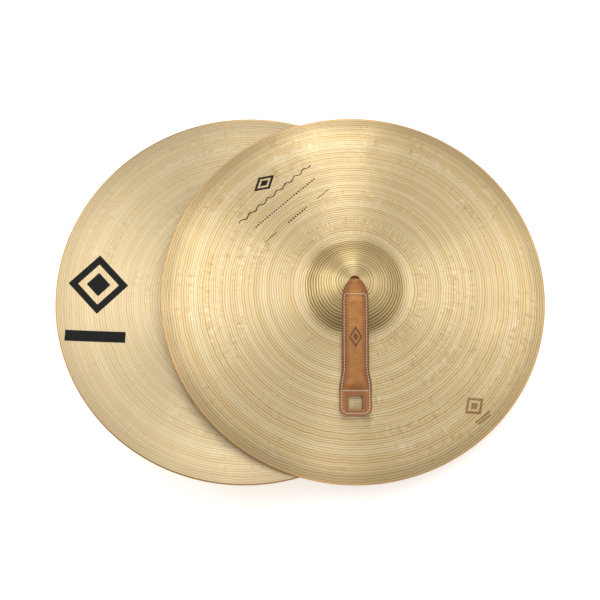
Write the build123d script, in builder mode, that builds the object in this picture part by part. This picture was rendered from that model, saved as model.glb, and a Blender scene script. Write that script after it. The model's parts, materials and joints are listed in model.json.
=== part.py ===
from build123d import *

import math
import os

# A pair of orchestral hand cymbals put down on a table, face to face and slid apart sideways.
# The rear cymbal lies underneath, hollow side up, on its own leather strap. The front cymbal
# lies over it, bell up, and the pair leans to the right until the front rim meets the table.
# Millimetres, +Z up, +X from the rear cymbal to the front one, the front strap along -Y.

# bronze discs
rim_radius = 228.6  # an 18 inch cymbal
bow_height = 21.5  # where the bow would meet the axis if there were no bell
bell_radius = 56.0  # where the bell's arc crosses the bow's arc
bell_height = 42.5  # hollow side, over the rim plane
foot_blend = 20.0  # radius between bell and bow
edge_thickness = 0.9
foot_thickness = 1.1
bell_thickness = 1.3
edge_round = 0.35
hole_radius = 6.0

# how the pair lies
centre_shift = 126.5  # between the two axes, along the rim plane
rim_gap = 0.3

# leather strap
leather = 2.0  # thickness of one panel
neck_half_width = 5.0
grip_half_width = 15.3
tab_half_width = 18.4
strap_length = 155.0  # from the hinge line to the end of the tab
nose_length = 2.0  # behind the hinge line
nose_round = 1.95
arch_top = 0.8  # the neck starts to widen here
arch_foot = 26.0  # and is as wide as the grip here
flare_start = 100.0
flare_end = 124.0
tab_corner = 9.0
slot_width = 16.4
slot_height = 16.0
slot_centre = 140.3
slot_corner = 1.0

# padding under the outer panel
pad_start = 20.0
pad_end = 124.0
pad_half_width = 11.0
pad_height = 5.0
pad_taper = 35  # degrees
pad_corner = 5.0

# seams
thread = 0.8
thread_height = 0.3
seam_inset = 2.2
seam_clearance = 0.2
upper_seam = 16.3
lower_seam = 127.0

# where a strap hangs on its cymbal
hinge_rise = 4.0  # hinge line over the outer top of the bell
front_strap_angle = -10.5  # degrees, from square to the axis, down on the bell's shoulder
neck_gap = 2.8  # from the hinge line down to the end of the neck
knot_gap = 0.8  # from the inner top of the bell to the knot
knot_width = 18.0
knot_height = 9.0
knot_corner = 4.0
knot_edge = 2.0
tail_centre = 15.0  # from the axis to the middle of a thong's free end
tail_length = 17.0
tail_width = 5.5


def crown_radius(rise, half_chord):
    """Radius of the arc that rises by rise over half_chord."""
    return (half_chord**2 + rise**2) / (2 * rise)


def crown(apex, radius, r):
    """Height at r of an arc of that radius whose top, on the axis, is at apex."""
    return apex - radius + math.sqrt(radius**2 - r**2)


class Shell:
    """One side of a cymbal: heights over the rim plane, the bell's arc inside foot."""

    def __init__(self, edge, bow_apex, bell_apex, foot):
        self.edge = edge
        self.bow_apex = bow_apex
        self.bell_apex = bell_apex
        self.foot = foot
        self.bow_radius = crown_radius(bow_apex - edge, rim_radius)
        self.bell_crown = crown_radius(bell_apex - self.bow(foot), foot)

    def bow(self, r):
        return crown(self.bow_apex, self.bow_radius, r)

    def bell(self, r):
        return crown(self.bell_apex, self.bell_crown, r)

    def edges(self):
        """Bell and bow arcs, from the hole out to the rim."""
        bell_middle = (hole_radius + self.foot) / 2
        bow_middle = (self.foot + rim_radius) / 2
        with BuildLine() as line:
            bell = ThreePointArc(
                (hole_radius, self.bell(hole_radius)),
                (bell_middle, self.bell(bell_middle)),
                (self.foot, self.bell(self.foot)),
            )
            ThreePointArc(
                bell @ 1, (bow_middle, self.bow(bow_middle)), (rim_radius, self.edge)
            )
        return line.edges()


inner = Shell(0.0, bow_height, bell_height, bell_radius)
outer = Shell(
    edge_thickness,
    bow_height + foot_thickness,
    bell_height + bell_thickness,
    bell_radius + bell_thickness,
)
hinge_height = outer.bell_apex + hinge_rise
grip_height = leather + pad_height
knot_top = inner.bell_apex - knot_gap

# The lean of the pair. The rear strap's hinge line is grip_height over the table, the rear rim
# plane is hinge_height further along the axis, and the front rim's far point is on the table:
# reach * sin(lean) - stack * cos(lean) = grip_height.
reach = centre_shift + rim_radius
stack = hinge_height + rim_gap
lean = math.asin(grip_height / math.hypot(reach, stack)) + math.atan2(stack, reach)
along = Vector(math.cos(lean), 0, -math.sin(lean))
normal = Vector(math.sin(lean), 0, math.cos(lean))

rear_height = grip_height + hinge_height * math.cos(lean)
rear_offset = (centre_shift * math.cos(lean) + rim_gap * math.sin(lean)) / 2
rear_centre = Vector(-rear_offset, 0, rear_height)
front_centre = rear_centre + along * centre_shift + normal * rim_gap

# Each base has its origin at the rim's centre, its z axis out through the bell and its strap
# along -y.
bases = {
    "rear": Plane(origin=rear_centre, x_dir=(0, 1, 0), z_dir=-normal),
    "front": Plane(origin=front_centre, x_dir=along, z_dir=normal),
}
strap_angles = {"rear": math.degrees(lean), "front": front_strap_angle}


def lengthwise(base):
    """Plane through the axis, with its x away from the axis and its y along it."""
    return Plane(origin=base.origin, x_dir=base.x_dir, z_dir=-base.y_dir)


def strap_plane(base, angle):
    """Middle plane of a strap: origin on the hinge line, strap along -y, outer side +z."""
    turn = math.radians(angle)
    out = base.z_dir * math.cos(turn) + base.y_dir * math.sin(turn)
    return Plane(origin=base.origin + base.z_dir * hinge_height, x_dir=base.x_dir, z_dir=out)


def strap_edges(inset=0.0):
    """Outline of the strap seen from outside, set in by inset along the sides and the end."""
    neck = neck_half_width - inset
    grip = grip_half_width - inset
    tab = tab_half_width - inset
    corner = tab_corner - inset
    end = inset - strap_length
    flare_middle = -(flare_start + flare_end) / 2
    with BuildLine() as line:
        nose = Line((0, nose_length), (neck, nose_length))
        Line(nose @ 1, (neck, -arch_top))
        EllipticalCenterArc((neck, -arch_foot), grip - neck, arch_foot - arch_top, arc_size=90)
        Line((grip, -arch_foot), (grip, -flare_start))
        flare = Bezier(
            (grip, -flare_start), (grip, flare_middle), (tab, flare_middle), (tab, -flare_end)
        )
        tab_side = Line(flare @ 1, (tab, end + corner))
        tab_arc = TangentArc(tab_side @ 1, (tab - corner, end), tangent=(0, -1))
        Line(tab_arc @ 1, (0, end))
        mirror(about=Plane.YZ)
    return line.edges()


def panel_sketch(plane):
    """Outline of one leather panel with the square hanging slot through its tab."""
    with BuildSketch(plane) as outline:
        make_face(strap_edges())
        with Locations((0, -slot_centre)):
            RectangleRounded(slot_width, slot_height, slot_corner, mode=Mode.SUBTRACT)
    return outline.sketch


def pad_sketch(plane, grown=0.0):
    """Outline of the padding, grown outwards all round."""
    with BuildSketch(plane) as outline:
        with Locations((0, -(pad_start + pad_end) / 2)):
            RectangleRounded(
                2 * (pad_half_width + grown),
                pad_end - pad_start + 2 * grown,
                pad_corner + grown,
            )
    return outline.sketch


def edge_seam_sketch(plane):
    """Thread line along both sides and round the tab, open at the upper cross seam."""
    top = 2 * strap_length
    with BuildSketch(plane) as line:
        make_face(strap_edges(seam_inset))
        make_face(strap_edges(seam_inset + thread), mode=Mode.SUBTRACT)
        with Locations((0, top / 2 - upper_seam)):
            Rectangle(top, top, mode=Mode.SUBTRACT)
    return line.sketch


def cross_seam_sketch(plane, distance):
    """Thread line across the strap, that far from the hinge line."""
    with BuildSketch(plane) as line:
        make_face(strap_edges(seam_inset + thread + seam_clearance))
        with Locations((0, -distance)):
            Rectangle(2 * tab_half_width, thread, mode=Mode.INTERSECT)
    return line.sketch


def save(piece, name):
    piece.part.label = name
    export_step(piece.part, f"parts/{name}.step")


os.makedirs("parts", exist_ok=True)

for end, base in bases.items():
    strap = strap_plane(base, strap_angles[end])
    strap_y = Axis(strap.origin, strap.y_dir)
    strap_z = Axis(strap.origin, strap.z_dir)

    # Spun bronze disc: bow, bell and strap hole in one sheet.
    with BuildPart() as cymbal:
        with BuildSketch(lengthwise(base)) as section:
            with BuildLine():
                add(inner.edges())
                add(outer.edges())
                Line((rim_radius, inner.edge), (rim_radius, outer.edge))
                Line(
                    (hole_radius, inner.bell(hole_radius)),
                    (hole_radius, outer.bell(hole_radius)),
                )
            make_face()
            for side in (inner, outer):
                foot = section.vertices().filter_by_position(Axis.X, side.foot - 0.1, side.foot + 0.1)
                blend = foot_blend + (foot_thickness if side is inner else 0)
                fillet(foot, blend)
            fillet(section.vertices().group_by(Axis.X)[-1], edge_round)
        revolve(axis=Axis(base.origin, base.z_dir))
    save(cymbal, f"{end}_cymbal")

    # Outer leather: tab, neck and the raised grip over the padding.
    with BuildPart() as grip_leather:
        extrude(panel_sketch(strap), amount=leather)
        extrude(pad_sketch(strap, grown=leather), amount=grip_height, taper=pad_taper)
        extrude(pad_sketch(strap), amount=pad_height, taper=pad_taper, mode=Mode.SUBTRACT)
        nose_end = grip_leather.faces().sort_by(strap_y)[-1]
        fillet(nose_end.edges().sort_by(strap_z)[-1], nose_round)
    save(grip_leather, f"{end}_grip_leather")

    # Flat leather on the side of the cymbal, which the fingers hold.
    with BuildPart() as backing_leather:
        extrude(panel_sketch(strap), amount=-leather)
        nose_end = backing_leather.faces().sort_by(strap_y)[-1]
        fillet(nose_end.edges().sort_by(strap_z)[0], nose_round)
    save(backing_leather, f"{end}_backing_leather")

    # Felt core sewn in between the two panels.
    with BuildPart() as grip_padding:
        extrude(pad_sketch(strap), amount=pad_height, taper=pad_taper)
    save(grip_padding, f"{end}_grip_padding")

    # Waxed thread, lying on both faces of the strap.
    outer_face = strap.offset(leather)
    back_face = strap.offset(-leather)
    with BuildPart() as edge_stitching:
        extrude(edge_seam_sketch(outer_face), amount=thread_height)
        extrude(edge_seam_sketch(back_face), amount=-thread_height)
    save(edge_stitching, f"{end}_edge_stitching")

    for seam, distance in (("upper", upper_seam), ("lower", lower_seam)):
        with BuildPart() as cross_stitching:
            extrude(cross_seam_sketch(outer_face, distance), amount=thread_height)
            extrude(cross_seam_sketch(back_face, distance), amount=-thread_height)
        save(cross_stitching, f"{end}_{seam}_seam_stitching")

    # The two panels run on as thongs, down through the hole into the knot.
    neck_length = hinge_height - neck_gap - knot_top
    for panel, side in (("grip", 1), ("backing", -1)):
        with BuildPart() as thong:
            with BuildSketch(base.offset(knot_top)):
                with Locations((0, side * leather / 2)):
                    Rectangle(2 * neck_half_width, leather)
            extrude(amount=neck_length)
        save(thong, f"{end}_{panel}_thong")

    # Square knot under the bell, with the four free ends of the split thongs.
    with BuildPart() as knot:
        with BuildSketch(base.offset(knot_top)):
            RectangleRounded(knot_width, knot_width, knot_corner)
        extrude(amount=-knot_height)
        flat_faces = knot.faces().filter_by(Axis(base.origin, base.z_dir))
        fillet(flat_faces.edges(), knot_edge)
        with BuildSketch(base.offset(knot_top - (knot_height - leather) / 2)):
            with PolarLocations(tail_centre, 4):
                Rectangle(tail_length, tail_width)
        extrude(amount=-leather)
    save(knot, f"{end}_strap_knot")
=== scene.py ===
import json
import math
import random

import bmesh
import bpy
import numpy as np
from mathutils import Matrix, Vector, noise


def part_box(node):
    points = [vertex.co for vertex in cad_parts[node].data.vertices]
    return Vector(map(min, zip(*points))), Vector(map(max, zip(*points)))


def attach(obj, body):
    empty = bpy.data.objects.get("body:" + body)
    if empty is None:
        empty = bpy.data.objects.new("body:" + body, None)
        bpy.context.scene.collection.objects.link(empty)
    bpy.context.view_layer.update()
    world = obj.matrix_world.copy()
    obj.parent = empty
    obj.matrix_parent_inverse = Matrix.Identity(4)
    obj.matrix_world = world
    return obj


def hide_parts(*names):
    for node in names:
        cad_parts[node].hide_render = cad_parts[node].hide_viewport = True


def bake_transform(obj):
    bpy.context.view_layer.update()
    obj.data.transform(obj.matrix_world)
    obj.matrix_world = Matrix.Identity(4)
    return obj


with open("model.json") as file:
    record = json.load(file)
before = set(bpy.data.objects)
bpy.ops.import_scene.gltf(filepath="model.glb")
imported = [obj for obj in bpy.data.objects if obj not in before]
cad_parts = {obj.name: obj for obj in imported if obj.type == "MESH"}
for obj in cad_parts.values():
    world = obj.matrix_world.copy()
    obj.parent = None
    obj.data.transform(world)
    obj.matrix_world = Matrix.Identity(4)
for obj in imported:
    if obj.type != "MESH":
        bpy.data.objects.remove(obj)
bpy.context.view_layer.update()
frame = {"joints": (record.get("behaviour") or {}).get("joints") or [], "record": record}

# A pair of orchestral hand cymbals with padded leather straps, laid down face to face and
# slid apart. Metres. Each cymbal has its own base frame: origin at the middle of the rim, z out
# through the bell, strap along -y. Each strap has flat coordinates: u across, v along from the
# hinge line to the tab, h out from the middle of its two leather panels.

ENDS = ("rear", "front")

# bronze discs
RIM_RADIUS = (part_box("front_cymbal")[1].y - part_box("front_cymbal")[0].y) / 2
HOLE_RADIUS = 0.006
BELL_FOOT = 0.062
EDGE_THICKNESS = 0.0009
SEGMENTS = 192
HAMMER_DEPTH = 0.00022
HAMMER_BROAD = 38  # noise cells per metre, in two sizes
HAMMER_SMALL = 85

# lathe cuts in the discs' surfaces, and the dark lines painted along them
GROOVE_PITCH = 0.0029
GROOVE_DEPTH = 0.000025
RING_PITCH = 0.0029
FIRST_CUT = HOLE_RADIUS + 0.001
LAST_CUT = RIM_RADIUS - 0.0022
RIM_BAND = 0.2175  # closely spaced cuts start here
RIM_BAND_END = RIM_RADIUS - 0.004
RIM_PITCH = 0.0012
RIM_DEPTH = 0.8  # share of GROOVE_DEPTH in that band
RIM_FLAT = 0.0012
RIM_LINE_PITCH = 0.0018
BELL_PITCH = 1.15  # shares of the bow's pitch and depth
BELL_DEPTH = 1.5

# radii where one look of the bronze fades into the next: from none of it to all of it
BELL_FADE = (BELL_FOOT + 0.004, BELL_FOOT - 0.008)
FOOT_IN = (0.034, 0.046)
FOOT_OUT = (0.065, 0.057)
SKIRT_FADE = (0.2060, 0.2130)
RIM_LINES_IN = (0.2155, 0.2162)
RIM_LINES_OUT = (0.2280, 0.2272)
LIP_FADE = (0.2266, 0.2278)
RIM_FADE = (RIM_RADIUS - 0.0018, RIM_RADIUS - 0.0010)

# straps
HINGE_HEIGHT = 0.0478
KNOT_TOP = 0.0417
THONG_IN_KNOT = 0.001
LEATHER = 0.002
PANEL_GAP = 0.00003
BEND_RADIUS = 0.0022
NECK_HALF = 0.005
NECK_END = 0.005  # rows of vertices are finer up to here, and the bend ends here
GRIP_HALF = 0.0153
TAB_HALF = 0.0184
ARCH_TOP = 0.0008
ARCH_FOOT = 0.026
FLARE_START = 0.100
FLARE_END = 0.124
STRAP_LENGTH = 0.155
TAB_CORNER = 0.009
TAB_ROUND = STRAP_LENGTH - TAB_CORNER  # the tab's corners start here
SLOT_HALF_WIDTH = 0.0082
SLOT_START = 0.1323
SLOT_END = 0.1483
PAD_START = 0.020
PAD_END = 0.124
PAD_HALF = 0.011
PAD_CORNER = 0.005
PAD_HEIGHT = 0.005
PAD_OVERLAP = 0.0009
SHOULDER = 0.0075
CUT_EDGE = 0.00035
INNER_COLUMNS = 16
OUTER_COLUMNS = 9

# felt core
FELT_INSET = 0.0002
FELT_BASE = 0.0001
FELT_THINNEST = 0.0003
FELT_ROWS = 66
FELT_COLUMNS = 22

# seams
SEAM_INSET = 0.0026
UPPER_SEAM = 0.0163
LOWER_SEAM = 0.127
STITCH_PITCH = 0.0031
STITCH_LENGTH = 0.0025
STITCH_RISE = 0.00016
STITCH_DIP = 0.00042
THREAD = 0.00088
THREAD_TWIST = 0.0011
TUCK_DEPTH = 0.00022
TUCK_WIDTH = 0.0009

# knot
KNOT_HEIGHT = 0.009
KNOT_SIDE = 0.0043  # from the knot's middle to the middle of a thong
BAND_HALF = 0.0041
TAIL_END = 0.0235
TAIL_HALF = 0.00275

# camera, fitted to the photo
CAMERA_LENS = 61.8
CAMERA_DISTANCE = 1.23
CAMERA_DROP = 0.0091
CAMERA_ANGLE = math.radians(73)

dice = random.Random(18)


def colour(red, green, blue):
    """Linear colour from a screen colour of 0 to 255."""
    parts = [c / 255 for c in (red, green, blue)]
    linear = [c / 12.92 if c <= 0.04045 else ((c + 0.055) / 1.055) ** 2.4 for c in parts]
    return (*linear, 1.0)


def mixed(a, b, t):
    return a + (b - a) * t


def smooth(t):
    t = min(max(t, 0.0), 1.0)
    return t * t * (3 - 2 * t)


# ---------------------------------------------------------------- frames


class Base:
    """The frame of one cymbal and of the strap on it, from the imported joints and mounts."""

    def __init__(self, end):
        joints = {j["name"]: j for j in frame["joints"]}
        mounts = {m["name"]: m for m in frame["record"]["mounts"]}
        swivel = joints[end + "_strap_swivel"]
        self.z = Vector(swivel["axis"]).normalized()
        self.x = -Vector(joints[end + "_strap_lift"]["axis"]).normalized()
        self.y = self.z.cross(self.x)
        self.hinge = Vector(swivel["pos_m"])
        self.centre = self.hinge - self.z * HINGE_HEIGHT
        self.strap_z = Vector(mounts[end + "_hand_grip"]["axis"]).normalized()
        self.strap_y = self.strap_z.cross(self.x)
        self.turn = math.acos(-self.strap_y.dot(self.z))
        self.corner = BEND_RADIUS * math.tan(self.turn / 2)
        self.arc = BEND_RADIUS * self.turn

    def place(self, x, y, z):
        return self.centre + self.x * x + self.y * y + self.z * z

    def bend(self, u, v, h):
        """A point of the strap, which goes flat to the hinge line and then down the hole."""
        across = self.hinge + self.x * u
        if v >= self.corner:
            return across - self.strap_y * v + self.strap_z * h
        middle = across - self.strap_y * self.corner - self.strap_z * BEND_RADIUS
        angle = min((self.corner - v) / BEND_RADIUS, self.turn)
        out = self.strap_z * math.cos(angle) + self.strap_y * math.sin(angle)
        point = middle + out * (BEND_RADIUS + h)
        beyond = self.corner - self.arc - v
        return point - self.z * max(beyond, 0.0)

    def thong_end(self, depth):
        """The v of a point that lies depth below the hinge line, inside the hole."""
        return 2 * self.corner - self.arc - depth


# ---------------------------------------------------------------- meshes


def new_object(name, mesh, material):
    mesh.materials.append(material)
    mesh.shade_smooth()
    made = bpy.data.objects.new(name, mesh)
    bpy.context.scene.collection.objects.link(made)
    return made


def outward(mesh):
    """Turns every face outwards."""
    work = bmesh.new()
    work.from_mesh(mesh)
    bmesh.ops.recalc_face_normals(work, faces=work.faces)
    work.to_mesh(mesh)
    work.free()


def vector_layer(mesh, name, values):
    layer = mesh.attributes.new(name, "FLOAT_VECTOR", "POINT")
    layer.data.foreach_set("vector", np.asarray(values, np.float32).ravel())


class Shape:
    """Lofts gathered into one mesh, with one vector per vertex for the material."""

    def __init__(self):
        self.points = []
        self.faces = []
        self.marks = []

    def loft(self, rings, marks):
        """Closed rings joined in a row, with a cap at each end."""
        first = len(self.points)
        count = len(rings[0])
        for ring, mark in zip(rings, marks):
            self.points.extend(ring)
            self.marks.extend(mark)
        for i in range(len(rings) - 1):
            for j in range(count):
                a = first + i * count + j
                b = first + i * count + (j + 1) % count
                self.faces.append((a, b, b + count, a + count))
        last = first + (len(rings) - 1) * count
        self.faces.append(tuple(range(first + count - 1, first - 1, -1)))
        self.faces.append(tuple(range(last, last + count)))

    def finish(self, name, layer, material):
        mesh = bpy.data.meshes.new(name)
        mesh.from_pydata(self.points, [], self.faces)
        vector_layer(mesh, layer, self.marks)
        outward(mesh)
        return new_object(name, mesh, material)


def oval(half_width, half_height, sides, power=1.0):
    """Points round an oval, squarer as power falls below 1."""
    points = []
    for k in range(sides):
        angle = 2 * math.pi * (k + 0.5) / sides
        across = math.copysign(abs(math.cos(angle)) ** power, math.cos(angle))
        up = math.copysign(abs(math.sin(angle)) ** power, math.sin(angle))
        points.append((across * half_width, up * half_height))
    return points


# ---------------------------------------------------------------- cymbals


class Side:
    """Heights of one side of a disc over its rim plane: bell arc, blend at its foot, bow arc."""

    def __init__(self, edge, bow_apex, bell_apex, foot, blend):
        rise = bow_apex - edge
        self.bow_radius = (RIM_RADIUS**2 + rise**2) / (2 * rise)
        self.bow_middle = bow_apex - self.bow_radius
        bow_at_foot = self.bow_middle + math.sqrt(self.bow_radius**2 - foot**2)
        rise = bell_apex - bow_at_foot
        self.bell_radius = (foot**2 + rise**2) / (2 * rise)
        self.bell_middle = bell_apex - self.bell_radius
        self.blend = blend
        to_bell = self.bell_radius + blend
        to_bow = self.bow_radius + blend
        gap = self.bow_middle - self.bell_middle
        above = (to_bell**2 - to_bow**2 + gap**2) / (2 * gap)
        self.blend_height = self.bell_middle + above
        self.blend_reach = math.sqrt(to_bell**2 - above**2)
        self.bell_end = self.blend_reach * self.bell_radius / to_bell
        self.bow_start = self.blend_reach * self.bow_radius / to_bow

    def height(self, r):
        if r < self.bell_end:
            return self.bell_middle + math.sqrt(self.bell_radius**2 - r**2)
        if r > self.bow_start:
            return self.bow_middle + math.sqrt(self.bow_radius**2 - r**2)
        return self.blend_height - math.sqrt(self.blend**2 - (r - self.blend_reach) ** 2)


OUTER = Side(edge=EDGE_THICKNESS, bow_apex=0.0226, bell_apex=0.0438, foot=0.0573, blend=0.0200)
INNER = Side(edge=0.0, bow_apex=0.0215, bell_apex=0.0425, foot=0.0560, blend=0.0211)


def groove_rings(seed):
    """(radius, height of the cut) from the hole to the rim: start, bottom and ridge of each."""
    cuts = random.Random(seed)
    rings = [(HOLE_RADIUS, 0.0)]
    r = FIRST_CUT
    while r < LAST_CUT:
        depth = GROOVE_DEPTH * cuts.uniform(0.3, 1.0)
        pitch = GROOVE_PITCH * cuts.uniform(0.75, 1.25)
        if r < BELL_FOOT:
            pitch *= BELL_PITCH
            depth *= BELL_DEPTH
        if RIM_BAND < r < RIM_BAND_END:
            pitch = RIM_PITCH
            depth = GROOVE_DEPTH * RIM_DEPTH
        bottom = r + pitch * 0.38
        ridge = r + pitch * 0.68
        rings.extend([(r, 0.0), (bottom, -depth), (ridge, depth * 0.4)])
        r += pitch
    rings.append((RIM_RADIUS - RIM_FLAT, 0.0))
    return rings


def hammering(x, y, r):
    """Slow rise and fall of the hammered sheet, none at the rim or at the hole."""
    broad = noise.noise(Vector((x * HAMMER_BROAD, y * HAMMER_BROAD, 1.7)))
    small = noise.noise(Vector((x * HAMMER_SMALL, y * HAMMER_SMALL, 6.1)))
    fade = smooth((RIM_RADIUS - r) / 0.02) * smooth((r - HOLE_RADIUS) / 0.05)
    return HAMMER_DEPTH * (broad + 0.5 * small) * fade


def disc_section(outer_seed, inner_seed):
    """(radius, height, share of the hammering, 1 on the hollow side) all round the section."""
    # (in from the rim, in from the face)
    rounding = ((0.0003, 0.0), (0.00008, 0.0001), (0.0, EDGE_THICKNESS * 0.38))
    section = [(r, OUTER.height(r) + cut, 1.0, 0.0) for r, cut in groove_rings(outer_seed)]
    for inset, drop in rounding:
        section.append((RIM_RADIUS - inset, EDGE_THICKNESS - drop, 0.0, 0.0))
    for inset, drop in reversed(rounding):
        section.append((RIM_RADIUS - inset, drop, 0.0, 1.0))
    for r, cut in reversed(groove_rings(inner_seed)):
        section.append((r, INNER.height(r) - cut, 1.0, 1.0))
    return section


def disc_points(section):
    """Vertices ring by ring, in the cymbal's own frame."""
    points = []
    for r, height, share, _ in section:
        for k in range(SEGMENTS):
            angle = 2 * math.pi * k / SEGMENTS
            x = r * math.cos(angle)
            y = r * math.sin(angle)
            points.append((x, y, height + share * hammering(x, y, r)))
    return points


def ring_faces(rows):
    """Quads between neighbouring rings, the last ring joined to the first."""
    faces = []
    for i in range(rows):
        here = i * SEGMENTS
        there = (i + 1) % rows * SEGMENTS
        for k in range(SEGMENTS):
            after = (k + 1) % SEGMENTS
            faces.append((here + k, there + k, there + after, here + after))
    return faces


def make_cymbal(end, base, material, seed):
    section = disc_section(seed, seed + 1)
    local = disc_points(section)
    mesh = bpy.data.meshes.new(end + "_cymbal_bronze")
    mesh.from_pydata([base.place(*p) for p in local], [], ring_faces(len(section)))
    vector_layer(mesh, "local", local)
    sides = np.repeat([side for _, _, _, side in section], SEGMENTS)
    hollow = mesh.attributes.new("hollow", "FLOAT", "POINT")
    hollow.data.foreach_set("value", sides.astype(np.float32))
    outward(mesh)
    polar_map(mesh, [r for r, _, _, _ in section])
    piece = new_object(end + "_cymbal_bronze", mesh, material)
    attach(piece, end + "_cymbal_disc")
    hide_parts(end + "_cymbal")


def polar_map(mesh, radii):
    """A UV map with u along the radius, in metres, and v round the disc."""
    corners = np.zeros(len(mesh.loops), np.int32)
    mesh.loops.foreach_get("vertex_index", corners)
    turn = (corners % SEGMENTS) / SEGMENTS
    by_face = turn.reshape(-1, 4)
    crosses = by_face.max(1) - by_face.min(1) > 0.5
    by_face[crosses] += (by_face[crosses] < 0.5) * 1.0
    reach = np.asarray(radii)[corners // SEGMENTS]
    uv = np.column_stack([reach, by_face.ravel()])
    layer = mesh.uv_layers.new(name="polar")
    layer.data.foreach_set("uv", uv.astype(np.float32).ravel())


# ---------------------------------------------------------------- strap shape


def half_width(v):
    """Half the width of the strap, that far from the hinge line."""
    if v <= ARCH_TOP:
        return NECK_HALF
    if v < ARCH_FOOT:
        left = (ARCH_FOOT - v) / (ARCH_FOOT - ARCH_TOP)
        return mixed(NECK_HALF, GRIP_HALF, math.sqrt(1 - left**2))
    if v < FLARE_END:
        return mixed(GRIP_HALF, TAB_HALF, smooth((v - FLARE_START) / (FLARE_END - FLARE_START)))
    beyond = v - TAB_ROUND
    if beyond <= 0:
        return TAB_HALF
    return TAB_HALF - TAB_CORNER + math.sqrt(max(TAB_CORNER**2 - beyond**2, 0.0))


def pad_distance(u, v):
    """How far a point is outside the padding's outline, negative inside it."""
    across = abs(u) - (PAD_HALF - PAD_CORNER)
    lengthwise = abs(v - (PAD_START + PAD_END) / 2) - ((PAD_END - PAD_START) / 2 - PAD_CORNER)
    outside = math.hypot(max(across, 0.0), max(lengthwise, 0.0))
    return outside + min(max(across, lengthwise), 0.0) - PAD_CORNER


def swell(distance, shoulder):
    """Share of the padding's height, that far inside the padding's edge."""
    t = min(max(distance / shoulder, 0.0), 1.0)
    return math.sin(t * math.pi / 2) ** 0.85


def seam_tuck(u, v):
    """How far the edge seam pulls the leather in."""
    if v <= UPPER_SEAM:
        return 0.0
    seam = abs(half_width(v) - SEAM_INSET - abs(u))
    return TUCK_DEPTH * math.exp(-((seam / TUCK_WIDTH) ** 2))


def leather_top(u, v):
    """Height of the outer leather's face, with a dimple at each stitch."""
    raised = swell(PAD_OVERLAP - pad_distance(u, v), SHOULDER)
    pull = 1.0 + 0.45 * math.cos(2 * math.pi * v / STITCH_PITCH)
    ripple = 0.00012 * math.sin(v * 95 + 0.6) * raised
    return LEATHER + PAD_HEIGHT * 0.97 * raised - seam_tuck(u, v) * pull + ripple


def leather_under(u, v):
    return PANEL_GAP + PAD_HEIGHT * swell(-pad_distance(u, v), SHOULDER * 0.95)


def backing_top(u, v):
    """The lining's upper face is flat. It takes u and v like the other three faces."""
    return -PANEL_GAP


def backing_under(u, v):
    return seam_tuck(u, v) - LEATHER


def strap_rows(base):
    """Values of v where the panels have a row of vertices, with rows on the slot's ends."""
    start = base.thong_end(HINGE_HEIGHT - KNOT_TOP + THONG_IN_KNOT)
    rows = list(np.linspace(start, 0.0, 8, endpoint=False))
    rows += list(np.linspace(0.0, NECK_END, 9, endpoint=False))
    rows += list(np.linspace(NECK_END, SLOT_START, 160, endpoint=False))
    rows += list(np.linspace(SLOT_START, SLOT_END, 20, endpoint=False))
    slot_angle = math.asin((SLOT_END - TAB_ROUND) / TAB_CORNER)
    for angle in np.linspace(slot_angle, math.pi / 2, 12):
        rows.append(TAB_ROUND + TAB_CORNER * math.sin(angle))
    return rows


def strap_columns(v):
    """Values of u across one row. The inner columns spread out to meet the slot's sides."""
    wide = half_width(v)
    share = mixed(0.45, 0.9, smooth((v - 0.09) / 0.03))
    middle = min(SLOT_HALF_WIDTH, share * wide)
    inner = [mixed(-middle, middle, k / INNER_COLUMNS) for k in range(INNER_COLUMNS + 1)]
    outer = [mixed(middle, wide, k / OUTER_COLUMNS) for k in range(1, OUTER_COLUMNS + 1)]
    return [-u for u in reversed(outer)] + inner + outer


def is_leather(rows, i, j):
    """Whether the cell in row i and column j is on the panel and not in its slot."""
    if not (0 <= i < len(rows) - 1 and 0 <= j < INNER_COLUMNS + 2 * OUTER_COLUMNS):
        return False
    in_rows = SLOT_START - 1e-6 < rows[i] and rows[i + 1] < SLOT_END + 1e-6
    in_columns = OUTER_COLUMNS <= j < OUTER_COLUMNS + INNER_COLUMNS
    return not (in_rows and in_columns)


def add_cell(work, rows, grids, i, j):
    """Both faces of one cell, and a wall on each side that has no neighbour. Returns the walls."""
    above, below = grids
    corners = ((i, j), (i, j + 1), (i + 1, j + 1), (i + 1, j))
    work.faces.new([above[a][b] for a, b in corners])
    work.faces.new([below[a][b] for a, b in reversed(corners)])
    beside = ((i - 1, j), (i, j + 1), (i + 1, j), (i, j - 1))
    walls = []
    for k, neighbour in enumerate(beside):
        if is_leather(rows, *neighbour):
            continue
        (a, b), (c, d) = corners[k], corners[(k + 1) % 4]
        wall = (above[c][d], above[a][b], below[a][b], below[c][d])
        walls.append(work.faces.new(wall))
    return walls


def flat_panel(base, top, under):
    """One leather panel in flat coordinates, with its slot, as a bmesh of one closed shell."""
    rows = strap_rows(base)
    work = bmesh.new()
    grids = []
    for face in (top, under):
        grid = [[work.verts.new((u, v, face(u, v))) for u in strap_columns(v)] for v in rows]
        grids.append(grid)
    walls = set()
    for i in range(len(rows) - 1):
        for j in range(INNER_COLUMNS + 2 * OUTER_COLUMNS):
            if is_leather(rows, i, j):
                walls.update(add_cell(work, rows, grids, i, j))
    loose = [v for v in work.verts if not v.link_faces]
    bmesh.ops.delete(work, geom=loose, context="VERTS")
    bmesh.ops.recalc_face_normals(work, faces=work.faces)
    bmesh.ops.bevel(
        work,
        geom=cut_edges(work, walls),
        offset=CUT_EDGE,
        segments=3,
        affect="EDGES",
        clamp_overlap=True,
    )
    return work


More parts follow.
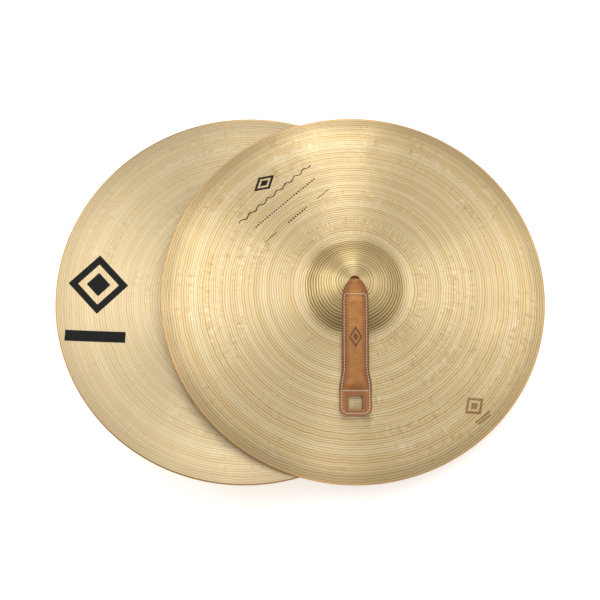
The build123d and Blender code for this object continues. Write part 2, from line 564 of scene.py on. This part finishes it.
def cut_edges(work, walls):
    """The edges where a panel's faces meet its cut sides, and the slot's upright corners."""
    sharp = []
    for edge in work.edges:
        on_wall = sum(f in walls for f in edge.link_faces)
        if on_wall == 1:
            sharp.append(edge)
        if on_wall == 2 and edge.calc_face_angle(0.0) > math.radians(60):
            sharp.append(edge)
    return sharp


def make_panel(end, base, name, surfaces, material, nodes):
    work = flat_panel(base, *surfaces)
    mesh = bpy.data.meshes.new(end + name)
    work.to_mesh(mesh)
    work.free()
    flat = [v.co.copy() for v in mesh.vertices]
    marks = [(u, v, edge_distance(u, v)) for u, v, _ in flat]
    vector_layer(mesh, "strap", marks)
    vector_layer(mesh, "flat", flat)
    for vertex, (u, v, h) in zip(mesh.vertices, flat):
        vertex.co = base.bend(u, v, h)
    piece = new_object(end + name, mesh, material)
    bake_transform(piece)
    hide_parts(*[end + node for node in nodes])
    return piece


def edge_distance(u, v):
    """Distance in from the nearest cut edge of the strap, the slot's edges included."""
    side = half_width(v) - abs(u)
    tip = STRAP_LENGTH - v
    slot_side = abs(u) - SLOT_HALF_WIDTH
    slot_tip = abs(v - (SLOT_START + SLOT_END) / 2) - (SLOT_END - SLOT_START) / 2
    slot = max(slot_side, slot_tip)
    return max(min(side, tip, slot), 0.0)


def make_padding(end, base, material):
    """Felt core between the panels."""
    rows = np.linspace(PAD_START + FELT_INSET, PAD_END - FELT_INSET, FELT_ROWS)
    columns = np.linspace(-PAD_HALF + FELT_INSET, PAD_HALF - FELT_INSET, FELT_COLUMNS)
    shape = Shape()
    rings = []
    marks = []
    for v in rows:
        near_end = min(v - PAD_START, PAD_END - v)
        pull = max(PAD_CORNER - near_end, 0.0)
        narrow = PAD_CORNER - math.sqrt(max(PAD_CORNER**2 - pull**2, 0.0))
        scale = (PAD_HALF - narrow) / PAD_HALF
        ring = []
        for u in columns * scale:
            ring.append((u, v, max(leather_under(u, v) - FELT_BASE, FELT_THINNEST)))
        ring += [(u, v, FELT_BASE) for u in reversed(columns * scale)]
        rings.append([base.bend(*p) for p in ring])
        marks.append(ring)
    shape.loft(rings, marks)
    piece = shape.finish(end + "_felt_core", "flat", material)
    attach(piece, end + "_strap_handle")
    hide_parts(end + "_grip_padding")


# ---------------------------------------------------------------- stitching


def evenly(line, pitch):
    """(point, direction) at even steps along a flat line of points."""
    points = np.asarray(line)
    steps = np.hypot(*np.diff(points, axis=0).T)
    run = np.concatenate([[0.0], np.cumsum(steps)])
    count = max(round(run[-1] / pitch), 1)

    def at(distance):
        return np.array([np.interp(distance, run, points[:, axis]) for axis in (0, 1)])

    found = []
    for k in range(count):
        middle = (k + 0.5) * run[-1] / count
        way = at(middle + pitch / 4) - at(middle - pitch / 4)
        found.append((at(middle), way / math.hypot(*way)))
    return found


def edge_line():
    """Seam line down one side, round the tab and up the other side."""
    half = [(half_width(v) - SEAM_INSET, v) for v in np.linspace(UPPER_SEAM, TAB_ROUND, 60)]
    turn = TAB_CORNER - SEAM_INSET
    for angle in np.linspace(0, math.pi / 2, 10)[1:]:
        across = TAB_HALF - TAB_CORNER + turn * math.cos(angle)
        half.append((across, TAB_ROUND + turn * math.sin(angle)))
    return half + [(-u, v) for u, v in reversed(half)]


def cross_line(v):
    wide = half_width(v) - SEAM_INSET - THREAD
    return [(-wide, v), (wide, v)]


def add_stitch(shape, base, at, way, surface, facing):
    """One stitch: a short twisted thread that arches over the leather and dips in at its ends."""
    slant = dice.uniform(0.06, 0.14)
    way = (way[0] - way[1] * slant, way[1] + way[0] * slant)
    section = oval(THREAD / 2, THREAD * 0.40, sides=8)
    rings = []
    marks = []
    for k in range(7):
        t = k / 3 - 1
        u = at[0] + way[0] * t * STITCH_LENGTH / 2
        v = at[1] + way[1] * t * STITCH_LENGTH / 2
        rise = STITCH_RISE - STITCH_DIP * abs(t) ** 2.5
        thin = 1.0 - 0.35 * abs(t) ** 3
        ring = []
        for across, up in section:
            p = (u - way[1] * across * thin, v + way[0] * across * thin)
            ring.append(base.bend(*p, surface(*at) + facing * (rise + up * thin)))
        rings.append(ring)
        marks.append([(t * STITCH_LENGTH / 2, j / len(section), 0.0) for j in range(len(section))])
    shape.loft(rings, marks)


def make_seam(end, base, name, line, material):
    shape = Shape()
    for surface, facing in ((leather_top, 1), (backing_under, -1)):
        for at, way in evenly(line, STITCH_PITCH):
            add_stitch(shape, base, at, way, surface, facing)
    piece = shape.finish(end + name + "_thread", "thread", material)
    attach(piece, end + "_strap_handle")
    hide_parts(end + name + "_stitching")


# ---------------------------------------------------------------- knot


def band_path():
    """(along, drift, up) of one thong of the knot, drift being sideways, with its free end."""
    lift = KNOT_HEIGHT / 2 - LEATHER / 2
    return (
        (-0.0068, 0.0, -lift * 0.55),
        (-0.0079, 0.0, 0.0),
        (-0.0078, 0.0, lift * 0.62),
        (-0.0066, 0.0, lift * 0.95),
        (-0.0043, 0.0, lift * 1.0),
        (-0.0018, 0.0, lift * 0.96),
        (0.0004, 0.0, lift * 0.72),
        (0.0024, 0.0, lift * 0.42),
        (0.0046, 0.0, lift * 0.34),
        (0.0068, -0.0004, lift * 0.34),
        (0.0092, -0.0012, lift * 0.22),
        (0.0120, -0.0022, lift * 0.08),
        (0.0150, -0.0030, 0.0),
        (0.0180, -0.0036, -0.0001),
        (0.0208, -0.0040, 0.0001),
        (TAIL_END, -0.0043, 0.0004),
    )


def add_band(shape, base, quarter):
    """One thong of the knot: up a side, over one neighbour, under the next, then its free end."""
    path = band_path()
    middle = KNOT_TOP - KNOT_HEIGHT / 2
    angle = quarter * math.pi / 2
    cos, sin = round(math.cos(angle)), round(math.sin(angle))
    rings = []
    marks = []
    for k, (along, drift, up) in enumerate(path):
        before, after = path[max(k - 1, 0)], path[min(k + 1, len(path) - 1)]
        tilt = math.atan2(after[2] - before[2], after[0] - before[0])
        wide = mixed(BAND_HALF, TAIL_HALF, smooth((along - 0.004) / 0.008))
        ring = []
        mark = []
        for across, out in oval(wide, LEATHER * 0.46, sides=16, power=0.5):
            x = along - out * math.sin(tilt)
            y = KNOT_SIDE + drift + across
            z = middle - up - out * math.cos(tilt)
            ring.append(base.place(x * cos - y * sin, x * sin + y * cos, z))
            mark.append((across, 0.2 + along + quarter * 0.05, wide - abs(across)))
        rings.append(ring)
        marks.append(mark)
    shape.loft(rings, marks)


def add_knot_heart(shape, base):
    """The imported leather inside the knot, up to its top under the bell: (height, half width)."""
    levels = (
        (KNOT_TOP - 0.0002, 0.0058),
        (KNOT_TOP - 0.0009, 0.0072),
        (KNOT_TOP - 0.0024, 0.0078),
        (KNOT_TOP - 0.0050, 0.0078),
        (KNOT_TOP - 0.0070, 0.0066),
    )
    rings = []
    marks = []
    for z, half in levels:
        outline = oval(half, half, sides=24, power=0.45)
        rings.append([base.place(x, y, z) for x, y in outline])
        marks.append([(x, 0.3 + y, half / 2) for x, y in outline])
    shape.loft(rings, marks)


def make_knot(end, base, material):
    shape = Shape()
    for quarter in range(4):
        add_band(shape, base, quarter)
    add_knot_heart(shape, base)
    piece = shape.finish(end + "_thong_knot", "strap", material)
    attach(piece, end + "_strap_neck")
    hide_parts(end + "_strap_knot")


# ---------------------------------------------------------------- materials


class Graph:
    """The node tree of one material, with short calls for its nodes and links."""

    def __init__(self, name):
        self.material = bpy.data.materials.new(name)
        self.material.use_nodes = True
        self.tree = self.material.node_tree
        self.tree.nodes.clear()

    def put(self, socket, value):
        if isinstance(value, bpy.types.NodeSocket):
            self.tree.links.new(value, socket)
        else:
            socket.default_value = value

    def node(self, kind, inputs=None, **settings):
        made = self.tree.nodes.new("ShaderNode" + kind)
        for name, value in settings.items():
            setattr(made, name, value)
        for name, value in (inputs or {}).items():
            self.put(made.inputs[name], value)
        return made

    def math(self, operation, *values):
        made = self.node("Math", operation=operation)
        for socket, value in zip(made.inputs, values):
            self.put(socket, value)
        return made.outputs[0]

    def times(self, first, *others):
        for other in others:
            first = self.math("MULTIPLY", first, other)
        return first

    def union(self, first, *others):
        """The largest of the values, which joins shapes that are 0 or 1."""
        for other in others:
            first = self.math("MAXIMUM", first, other)
        return first

    def vector(self, operation, *values):
        made = self.node("VectorMath", operation=operation)
        for socket, value in zip(made.inputs, values):
            self.put(socket, value)
        return made.outputs["Value" if operation in ("LENGTH", "DOT_PRODUCT") else "Vector"]

    def mix(self, factor, first, second):
        made = self.node("Mix", data_type="RGBA")
        self.put(made.inputs[0], factor)
        self.put(made.inputs[6], first)
        self.put(made.inputs[7], second)
        return made.outputs[2]

    def tint(self, tone, share, strength, paint):
        """tone with a screen colour over it, by share (0 to 1) at that strength."""
        return self.mix(self.times(share, strength), tone, colour(*paint))

    def span(self, value, low, high, to_low=0.0, to_high=1.0):
        """value from low to high becomes to_low to to_high, eased."""
        inputs = {"Value": value, 1: low, 2: high, 3: to_low, 4: to_high}
        return self.node("MapRange", inputs, interpolation_type="SMOOTHSTEP").outputs[0]

    def noise(self, place, scale, detail=2.0, roughness=0.5):
        inputs = {"Vector": place, "Scale": scale, "Detail": detail, "Roughness": roughness}
        return self.node("TexNoise", inputs).outputs[0]

    def line_noise(self, value, scale, detail=2.0, roughness=0.5):
        inputs = {"W": value, "Scale": scale, "Detail": detail, "Roughness": roughness}
        return self.node("TexNoise", inputs, noise_dimensions="1D").outputs[0]

    def attribute(self, name, output="Vector"):
        return self.node("Attribute", attribute_name=name).outputs[output]

    def split(self, vector):
        return self.node("SeparateXYZ", {0: vector}).outputs

    def join(self, x, y, z):
        return self.node("CombineXYZ", {0: x, 1: y, 2: z}).outputs[0]

    def bump(self, height, distance, strength=1.0):
        inputs = {"Height": height, "Distance": distance, "Strength": strength}
        return self.node("Bump", inputs).outputs[0]

    def shader(self, **inputs):
        named = {k.replace("_", " ").title().replace("Ior", "IOR"): v for k, v in inputs.items()}
        made = self.node("BsdfPrincipled", named)
        output = self.node("OutputMaterial")
        self.tree.links.new(made.outputs[0], output.inputs[0])
        return self.material


def lozenge(g, across, up, half_wide, half_tall):
    """1 inside a lozenge-shaped outline with a smaller solid lozenge in it."""
    beside = g.math("DIVIDE", g.math("ABSOLUTE", across), half_wide)
    above = g.math("DIVIDE", g.math("ABSOLUTE", up), half_tall)
    size = g.math("ADD", beside, above)
    outline = g.times(g.math("LESS_THAN", size, 1.0), g.math("GREATER_THAN", size, 0.68))
    return g.union(outline, g.math("LESS_THAN", size, 0.40))


def bar(g, across, up, middle, half_wide, half_tall):
    """1 inside an upright box, whose middle is that far up."""
    beside = g.math("SUBTRACT", g.math("ABSOLUTE", across), half_wide)
    above = g.math("SUBTRACT", g.math("ABSOLUTE", g.math("SUBTRACT", up, middle)), half_tall)
    return g.math("LESS_THAN", g.union(beside, above), 0.0)


def dashes(g, across, pitch, share):
    """1 on dashes of that pitch."""
    return g.math("LESS_THAN", g.math("FRACT", g.math("DIVIDE", across, pitch)), share)


def mark_frame(g, place, radius, angle, turn):
    """Coordinates across and up a printed mark, from where its middle is on the disc."""
    middle = (radius * math.cos(angle), radius * math.sin(angle), 0.0)
    from_middle = g.vector("SUBTRACT", place, middle)
    across = g.vector("DOT_PRODUCT", from_middle, (math.cos(turn), math.sin(turn), 0.0))
    up = g.vector("DOT_PRODUCT", from_middle, (-math.sin(turn), math.cos(turn), 0.0))
    return across, up


WAVE_PITCH = 0.0145
WAVE_HEIGHT = 0.0015


def front_print(g, place):
    """A small lozenge over a wavy rule, two dashed rules and two thin ones, on the upper left."""
    angle = math.radians(127)
    across, up = mark_frame(g, place, radius=0.138, angle=angle, turn=angle - math.radians(85))
    badge = lozenge(g, across, g.math("SUBTRACT", up, 0.036), half_wide=0.0165, half_tall=0.0105)
    swing = g.times(g.math("SINE", g.times(across, 2 * math.pi / WAVE_PITCH)), WAVE_HEIGHT)
    swung = g.math("SUBTRACT", up, swing)
    wave = bar(g, across, swung, middle=0.0160, half_wide=0.058, half_tall=0.0007)
    broken = dashes(g, across, pitch=0.0036, share=0.55)
    caption = g.times(bar(g, across, up, middle=-0.002, half_wide=0.049, half_tall=0.0009), broken)
    short = g.times(bar(g, across, up, middle=-0.0245, half_wide=0.0155, half_tall=0.0010), broken)
    beside = g.math("SUBTRACT", g.math("ABSOLUTE", across), 0.042)
    thin = bar(g, beside, up, middle=-0.0245, half_wide=0.010, half_tall=0.0004)
    return g.union(badge, wave, caption, short, thin)


def front_stamp(g, place):
    """A faint brown lozenge over two short rules, low on the right by the rim."""
    across, up = mark_frame(
        g, place, radius=0.197, angle=math.radians(-45.5), turn=math.radians(38)
    )
    badge = lozenge(g, across, g.math("SUBTRACT", up, 0.002), half_wide=0.014, half_tall=0.012)
    upper = bar(g, across, up, middle=-0.0135, half_wide=0.011, half_tall=0.0010)
    lower = bar(g, across, up, middle=-0.0170, half_wide=0.009, half_tall=0.0010)
    return g.union(badge, upper, lower)


def rear_print(g, place):
    """A large lozenge over a solid bar, on the hollow side."""
    across, up = mark_frame(
        g, place, radius=0.180, angle=math.radians(-86), turn=math.radians(90)
    )
    upright = g.times(up, -1.0)
    badge = lozenge(g, across, upright, half_wide=0.035, half_tall=0.037)
    rule = bar(g, across, upright, middle=-0.065, half_wide=0.035, half_tall=0.0068)
    return g.union(badge, rule)


def lathe_rings(g, place, radius, flecks):
    """(line, fine): dark turned lines round the disc, shaken where the sheet was hammered."""
    shake = g.times(g.math("SUBTRACT", g.noise(place, scale=70.0, detail=2.0), 0.5), 0.0026)
    shake = g.math("ADD", shake, g.times(flecks, 0.0007))
    shaken = g.math("ADD", radius, shake)
    drift = g.times(g.line_noise(radius, scale=1 / 0.022, detail=1.0), 1.5)
    count = g.math("ADD", g.times(shaken, 1 / RING_PITCH), drift)
    line = g.span(g.math("SINE", g.times(count, 2 * math.pi)), -0.3, 1.0)
    weight = g.span(g.line_noise(count, scale=0.6, detail=2.0), 0.30, 0.58, 0.40, 1.0)
    fine = g.line_noise(shaken, scale=1 / 0.0009, detail=2.0, roughness=0.6)
    return g.times(line, weight), fine


def rim_lines(g, radius):
    """Closely spaced lines inside the rim."""
    phase = g.times(radius, 2 * math.pi / RIM_LINE_PITCH)
    inside = g.times(g.span(radius, *RIM_LINES_IN), g.span(radius, *RIM_LINES_OUT))
    return g.times(g.span(g.math("SINE", phase), -0.2, 0.9), inside)


def hammer_flecks(g, place, radius, heading, bow):
    """Short marks that point to the bell, in loose rows and patches."""
    spoke = g.vector("MULTIPLY", heading, (36.0, 36.0, 0.0))
    spoke = g.vector("ADD", spoke, g.join(0.0, 0.0, g.times(radius, 1 / 0.009)))
    marks = g.noise(spoke, scale=1.0, detail=2.0, roughness=0.55)
    rows = g.span(g.line_noise(radius, scale=1 / 0.018, detail=1.0), 0.34, 0.58, 0.25, 1.0)
    patches = g.span(g.noise(place, scale=14.0, detail=1.0), 0.36, 0.60, 0.2, 1.0)
    share = g.times(rows, patches, bow)
    return g.times(g.math("SUBTRACT", marks, 0.5), share)


# the bronze's colours, as screen colours of 0 to 255
BRONZE = (223, 197, 148)
BRONZE_PALE = (232, 211, 168)
BRONZE_CLOUD = (206, 178, 122)
FLECK_LIGHT = (244, 230, 200)
FLECK_DARK = (180, 150, 98)
SKIRT_BROWN = (186, 156, 104)
BELL_OLIVE = (188, 164, 108)
FOOT_SHADE = (152, 130, 78)
LINE_BROWN = (142, 114, 64)
LINE_DEEP = (66, 50, 28)
RIM_LINE_BROWN = (122, 94, 52)
# painted light: a pale colour laid over the hollow sides to brighten them
HOLLOW_PAINTED_LIGHT = (240, 221, 184)
RIM_COPPER = (214, 158, 96)
STAMP_BROWN = (128, 76, 36)
INK = (8, 8, 8)


def sheet_tone(g, place, radius, bell, foot, flecks):
    """Colour of the bare sheet: broad rings, clouds and flecks, darker by the rim and on the bell."""
    bands = g.line_noise(radius, scale=1 / 0.014, detail=2.0)
    tone = g.mix(g.span(bands, 0.35, 0.65), colour(*BRONZE), colour(*BRONZE_PALE))
    clouds = g.span(g.noise(place, scale=9.0, detail=3.0, roughness=0.55), 0.35, 0.70)
    tone = g.tint(tone, clouds, 0.20, BRONZE_CLOUD)
    tone = g.mix(g.span(flecks, 0.03, 0.20, 0.0, 0.50), tone, colour(*FLECK_LIGHT))
    tone = g.mix(g.span(flecks, -0.03, -0.20, 0.0, 0.50), tone, colour(*FLECK_DARK))
    tone = g.tint(tone, g.span(radius, *SKIRT_FADE), 0.36, SKIRT_BROWN)
    tone = g.tint(tone, bell, 0.50, BELL_OLIVE)
    return g.tint(tone, foot, 0.15, FOOT_SHADE)


def printed(g, end, tone, flat, hollow):
    """(tone, ink): the colour with the marks of that cymbal, and 1 on its black ink."""
    if end == "front":
        outside = g.math("LESS_THAN", hollow, 0.5)
        ink = g.times(front_print(g, flat), outside)
        tone = g.tint(tone, g.times(front_stamp(g, flat), outside), 0.7, STAMP_BROWN)
    else:
        ink = g.times(rear_print(g, flat), hollow)
    return g.mix(ink, tone, colour(*INK)), ink


def bronze(end):
    """Turned and hammered bronze. The grain runs round the disc, so highlights run outwards."""
    g = Graph(end + "_bronze")
    place = g.attribute("local")
    hollow = g.attribute("hollow", "Fac")
    flat = g.vector("MULTIPLY", place, (1.0, 1.0, 0.0))
    radius = g.vector("LENGTH", flat)
    heading = g.vector("NORMALIZE", flat)
    bell = g.span(radius, *BELL_FADE)
    foot = g.times(g.span(radius, *FOOT_IN), g.span(radius, *FOOT_OUT))
    lip = g.span(radius, *LIP_FADE)
    rim = g.span(radius, *RIM_FADE)
    bow = g.math("SUBTRACT", g.math("SUBTRACT", 1.0, bell), lip)

    flecks = hammer_flecks(g, place, radius, heading, bow)
    rings, fine = lathe_rings(g, place, radius, flecks)
    rings = g.times(rings, g.math("SUBTRACT", 1.0, lip))
    edge_lines = rim_lines(g, radius)

    tone = sheet_tone(g, place, radius, bell, foot, flecks)
    tone = g.tint(tone, rings, g.span(bell, 0.0, 1.0, 0.52, 0.83), LINE_BROWN)
    tone = g.tint(tone, g.times(rings, foot), 0.50, LINE_DEEP)
    tone = g.tint(tone, edge_lines, 0.50, RIM_LINE_BROWN)
    # painted light: the hollow sides are made paler, which brightens the rear cymbal's inner face
    tone = g.tint(tone, hollow, 0.34, HOLLOW_PAINTED_LIGHT)
    tone = g.tint(tone, rim, 0.6, RIM_COPPER)
    tone, ink = printed(g, end, tone, flat, hollow)

    height = g.math("ADD", g.times(fine, 0.25), g.times(flecks, 1.8))
    height = g.math("SUBTRACT", height, g.times(rings, 1.3))
    height = g.math("SUBTRACT", height, g.times(edge_lines, 0.6))
    tangent = g.node("Tangent", direction_type="UV_MAP", uv_map="polar").outputs[0]
    return g.shader(
        base_color=tone,
        metallic=g.math("SUBTRACT", 1.0, ink),
        roughness=g.span(g.noise(place, scale=22.0, detail=3.0), 0.3, 0.7, 0.34, 0.42),
        specular_IOR_level=0.15,
        anisotropic=0.85,
        tangent=tangent,
        coat_weight=0.2,
        coat_roughness=0.25,
        coat_IOR=1.5,
        normal=g.bump(height, distance=0.00007),
    )


# the leather's colours
LEATHER_UPPER = (204, 140, 66)
LEATHER_LOWER = (182, 120, 58)
LEATHER_MOTTLE = (148, 90, 38)
LEATHER_CREASE = (120, 70, 30)
LEATHER_GRAIN = (112, 64, 26)
# painted shade for the padded grip's sloping sides
LEATHER_PILLOW_SHADE = (128, 70, 28)
LEATHER_CUT = (84, 50, 28)
LEATHER_TAB = (176, 112, 64)
LEATHER_SEAM = (104, 62, 32)
LEATHER_BADGE = (88, 54, 30)


def leather_tone(g, along, edge, mottle, creases, grain):
    """Colour of tan leather, with painted shade along the padded grip's sides, darker at its cut
    edges and along the seam.
    """
    tone = g.mix(g.span(along, 0.0, STRAP_LENGTH), colour(*LEATHER_UPPER), colour(*LEATHER_LOWER))
    tone = g.tint(tone, g.span(mottle, 0.35, 0.7), 0.40, LEATHER_MOTTLE)
    tone = g.tint(tone, creases, 0.18, LEATHER_CREASE)
    tone = g.tint(tone, g.span(grain, 1.0, 0.0), 0.22, LEATHER_GRAIN)
    # painted shade: darker 3 to 10 mm in from the strap's sides, where the padded grip curves down,
    # weaker on the flat tab
    pillow_shade = g.times(g.span(edge, 0.0105, 0.0030), g.span(along, 0.130, 0.126, 0.40, 1.0))
    tone = g.tint(tone, pillow_shade, 0.68, LEATHER_PILLOW_SHADE)
    tone = g.tint(tone, g.span(edge, 0.0009, 0.0002), 0.8, LEATHER_CUT)
    tone = g.tint(tone, g.span(along, 0.126, 0.130), 0.45, LEATHER_TAB)
    from_seam = g.math("ABSOLUTE", g.math("SUBTRACT", edge, SEAM_INSET))
    below = g.math("GREATER_THAN", along, UPPER_SEAM)
    return g.tint(tone, g.times(g.span(from_seam, 0.0009, 0.0002), below), 0.45, LEATHER_SEAM)


def leather(name, pressed):
    """Tan leather. pressed is the strength of the lozenge that is pressed into the grip."""
    g = Graph(name)
    strap = g.attribute("strap")
    flat = g.attribute("flat") if pressed else strap
    across, along, edge = g.split(strap)
    cells = {"Vector": flat, "Scale": 1500.0}
    grain = g.node("TexVoronoi", cells, feature="DISTANCE_TO_EDGE").outputs[0]
    grain = g.span(grain, 0.0, 0.22)
    pores = g.noise(flat, scale=3200.0, detail=2.0)
    mottle = g.noise(flat, scale=140.0, detail=4.0, roughness=0.6)
    crease_place = g.vector("MULTIPLY", flat, (60.0, 420.0, 60.0))
    creases = g.span(g.noise(crease_place, scale=1.0, detail=3.0), 0.50, 0.62)

    badge = lozenge(g, across, g.math("SUBTRACT", along, 0.066), half_wide=0.0078, half_tall=0.0125)
    badge = g.times(badge, pressed)
    tone = leather_tone(g, along, edge, mottle, creases, grain)
    tone = g.tint(tone, badge, 0.80, LEATHER_BADGE)

    height = g.math("ADD", g.times(grain, 0.5), g.times(pores, 0.25))
    height = g.math("SUBTRACT", height, g.times(creases, 0.6))
    height = g.math("SUBTRACT", height, g.times(badge, 2.2))
    return g.shader(
        base_color=tone,
        roughness=g.span(mottle, 0.3, 0.7, 0.42, 0.56),
        specular_IOR_level=0.45,
        coat_weight=0.12,
        coat_roughness=0.35,
        normal=g.bump(height, distance=0.00009),
    )


def thread():
    """Waxed thread: two plies twisted round each other."""
    g = Graph("waxed_thread")
    along, around, _ = g.split(g.attribute("thread"))
    turns = g.math("ADD", g.times(along, 1 / THREAD_TWIST), around)
    twist = g.math("ABSOLUTE", g.math("SINE", g.times(turns, 2 * math.pi)))
    fuzz = g.noise(g.attribute("thread"), scale=2500.0, detail=3.0)
    tone = g.mix(g.span(twist, 0.0, 0.6), colour(196, 182, 156), colour(246, 240, 226))
    tone = g.tint(tone, g.span(fuzz, 0.4, 0.7), 0.25, (222, 210, 186))
    return g.shader(
        base_color=tone,
        roughness=g.span(fuzz, 0.3, 0.7, 0.48, 0.62),
        sheen_weight=0.2,
        normal=g.bump(g.math("ADD", twist, g.times(fuzz, 0.3)), distance=0.00008),
    )


def felt():
    """Grey wool felt, with its fibres across the strap."""
    g = Graph("grey_felt")
    flat = g.attribute("flat")
    combed = g.vector("MULTIPLY", flat, (1.0, 2.5, 1.0))
    fibres = g.noise(combed, scale=1400.0, detail=5.0, roughness=0.7)
    lumps = g.noise(flat, scale=260.0, detail=3.0)
    tone = g.mix(g.span(fibres, 0.3, 0.7), colour(150, 144, 134), colour(206, 200, 188))
    tone = g.tint(tone, g.span(lumps, 0.35, 0.7), 0.3, (172, 164, 150))
    return g.shader(
        base_color=tone,
        roughness=g.span(fibres, 0.3, 0.7, 0.86, 0.96),
        sheen_weight=0.6,
        sheen_roughness=0.6,
        normal=g.bump(g.math("ADD", fibres, g.times(lumps, 0.7)), distance=0.0003),
    )


def paper():
    """The pale studio floor."""
    g = Graph("studio_paper")
    place = g.node("TexCoord").outputs["Object"]
    tone = g.mix(g.noise(place, scale=3.0, detail=3.0), colour(246, 246, 246), colour(250, 250, 250))
    return g.shader(
        base_color=tone,
        roughness=0.9,
        specular_IOR_level=0.1,
        emission_color=colour(255, 255, 255),
        emission_strength=0.40,
    )


# ---------------------------------------------------------------- studio


FLOOR_HALF = 12.0
WORLD_STRENGTH = 0.88
WORLD_DARK = (0.30, 0.29, 0.27, 1.0)
WORLD_LIGHT = (1.0, 0.99, 0.97, 1.0)
WORLD_DARK_TO = 0.10  # on the way from -y (0) to +y (1)
WORLD_LIGHT_FROM = 0.42

# name, direction, distance, width and length, watts
SOFTBOXES = (
    ("left_softbox", (-0.55, 0.30, 0.78), 2.4, (1.6, 1.7), 11.3),
    ("right_softbox", (0.62, 0.28, 0.73), 2.4, (0.9, 1.1), 3.2),
    ("far_softbox", (0.08, 0.84, 0.58), 2.4, (0.7, 1.2), 6.0),
    ("key_softbox", (-0.50, 0.62, 0.60), 2.6, (0.7, 0.7), 1.2),
    ("near_softbox", (0.10, -0.52, 0.85), 2.4, (0.5, 0.7), 2.0),
)


def make_floor():
    mesh = bpy.data.meshes.new("studio_floor")
    half = FLOOR_HALF
    corners = [(-half, -half, 0), (half, -half, 0), (half, half, 0), (-half, half, 0)]
    mesh.from_pydata(corners, [], [(0, 1, 2, 3)])
    new_object("studio_floor", mesh, paper())


def make_world():
    """Soft light from all round, darker towards -y, which darkens the near side's reflections."""
    world = bpy.data.worlds.new("studio")
    bpy.context.scene.world = world
    world.use_nodes = True
    tree = world.node_tree
    background = tree.nodes["Background"]
    background.inputs["Strength"].default_value = WORLD_STRENGTH
    place = tree.nodes.new("ShaderNodeTexCoord")
    way = tree.nodes.new("ShaderNodeSeparateXYZ")
    towards = tree.nodes.new("ShaderNodeMapRange")
    towards.inputs[1].default_value = -1.0
    shade = tree.nodes.new("ShaderNodeValToRGB")
    dark, light = shade.color_ramp.elements
    dark.position = WORLD_DARK_TO
    dark.color = WORLD_DARK
    light.position = WORLD_LIGHT_FROM
    light.color = WORLD_LIGHT
    tree.links.new(place.outputs["Generated"], way.inputs[0])
    tree.links.new(way.outputs["Y"], towards.inputs[0])
    tree.links.new(towards.outputs[0], shade.inputs[0])
    tree.links.new(shade.outputs[0], background.inputs["Color"])


def softbox(name, towards, distance, size, power, aim):
    """A rectangular lamp in the direction towards, facing aim."""
    lamp = bpy.data.lights.new(name, "AREA")
    lamp.shape = "RECTANGLE"
    lamp.size, lamp.size_y = size
    lamp.energy = power
    made = bpy.data.objects.new(name, lamp)
    bpy.context.scene.collection.objects.link(made)
    way = Vector(towards).normalized()
    made.location = aim + way * distance
    made.rotation_euler = way.to_track_quat("Z", "Y").to_euler()


def make_camera(bases, middle):
    """Looks down on the pair, 17 degrees from square to the rims, with the straps towards it."""
    front = bases["front"]
    back = front.z * math.sin(CAMERA_ANGLE) - front.y * math.cos(CAMERA_ANGLE)
    up = back.cross(front.x)
    lens = bpy.data.cameras.new("photo_camera")
    lens.lens = CAMERA_LENS
    lens.clip_start = 0.01
    camera = bpy.data.objects.new("photo_camera", lens)
    bpy.context.scene.collection.objects.link(camera)
    camera.location = middle - up * CAMERA_DROP + back * CAMERA_DISTANCE
    camera.rotation_euler = Matrix((front.x, up, back)).transposed().to_euler()
    bpy.context.scene.camera = camera


# ---------------------------------------------------------------- the object


def make_strap(end, base, materials):
    outer = make_panel(
        end,
        base,
        "_padded_grip",
        (leather_top, leather_under),
        materials["leather"],
        ("_grip_leather", "_grip_thong"),
    )
    make_panel(
        end,
        base,
        "_strap_lining",
        (backing_top, backing_under),
        materials["lining"],
        ("_backing_leather", "_backing_thong"),
    )
    make_padding(end, base, materials["felt"])
    make_seam(end, base, "_edge", edge_line(), materials["thread"])
    make_seam(end, base, "_upper_seam", cross_line(UPPER_SEAM), materials["thread"])
    make_seam(end, base, "_lower_seam", cross_line(LOWER_SEAM), materials["thread"])
    make_knot(end, base, materials["knot"])


bases = {end: Base(end) for end in ENDS}
materials = {
    "leather": leather("strap_leather", 1.0),
    "lining": leather("lining_leather", 0.0),
    "knot": leather("knot_leather", 0.0),
    "thread": thread(),
    "felt": felt(),
}
for number, end in enumerate(ENDS):
    make_cymbal(end, bases[end], bronze(end), 40 + 10 * number)
    make_strap(end, bases[end], materials)

middle = (bases["rear"].centre + bases["front"].centre) / 2
make_camera(bases, middle)
make_world()
for lamp in SOFTBOXES:
    softbox(*lamp, middle)
make_floor()
bpy.context.scene.view_settings.view_transform = "Standard"
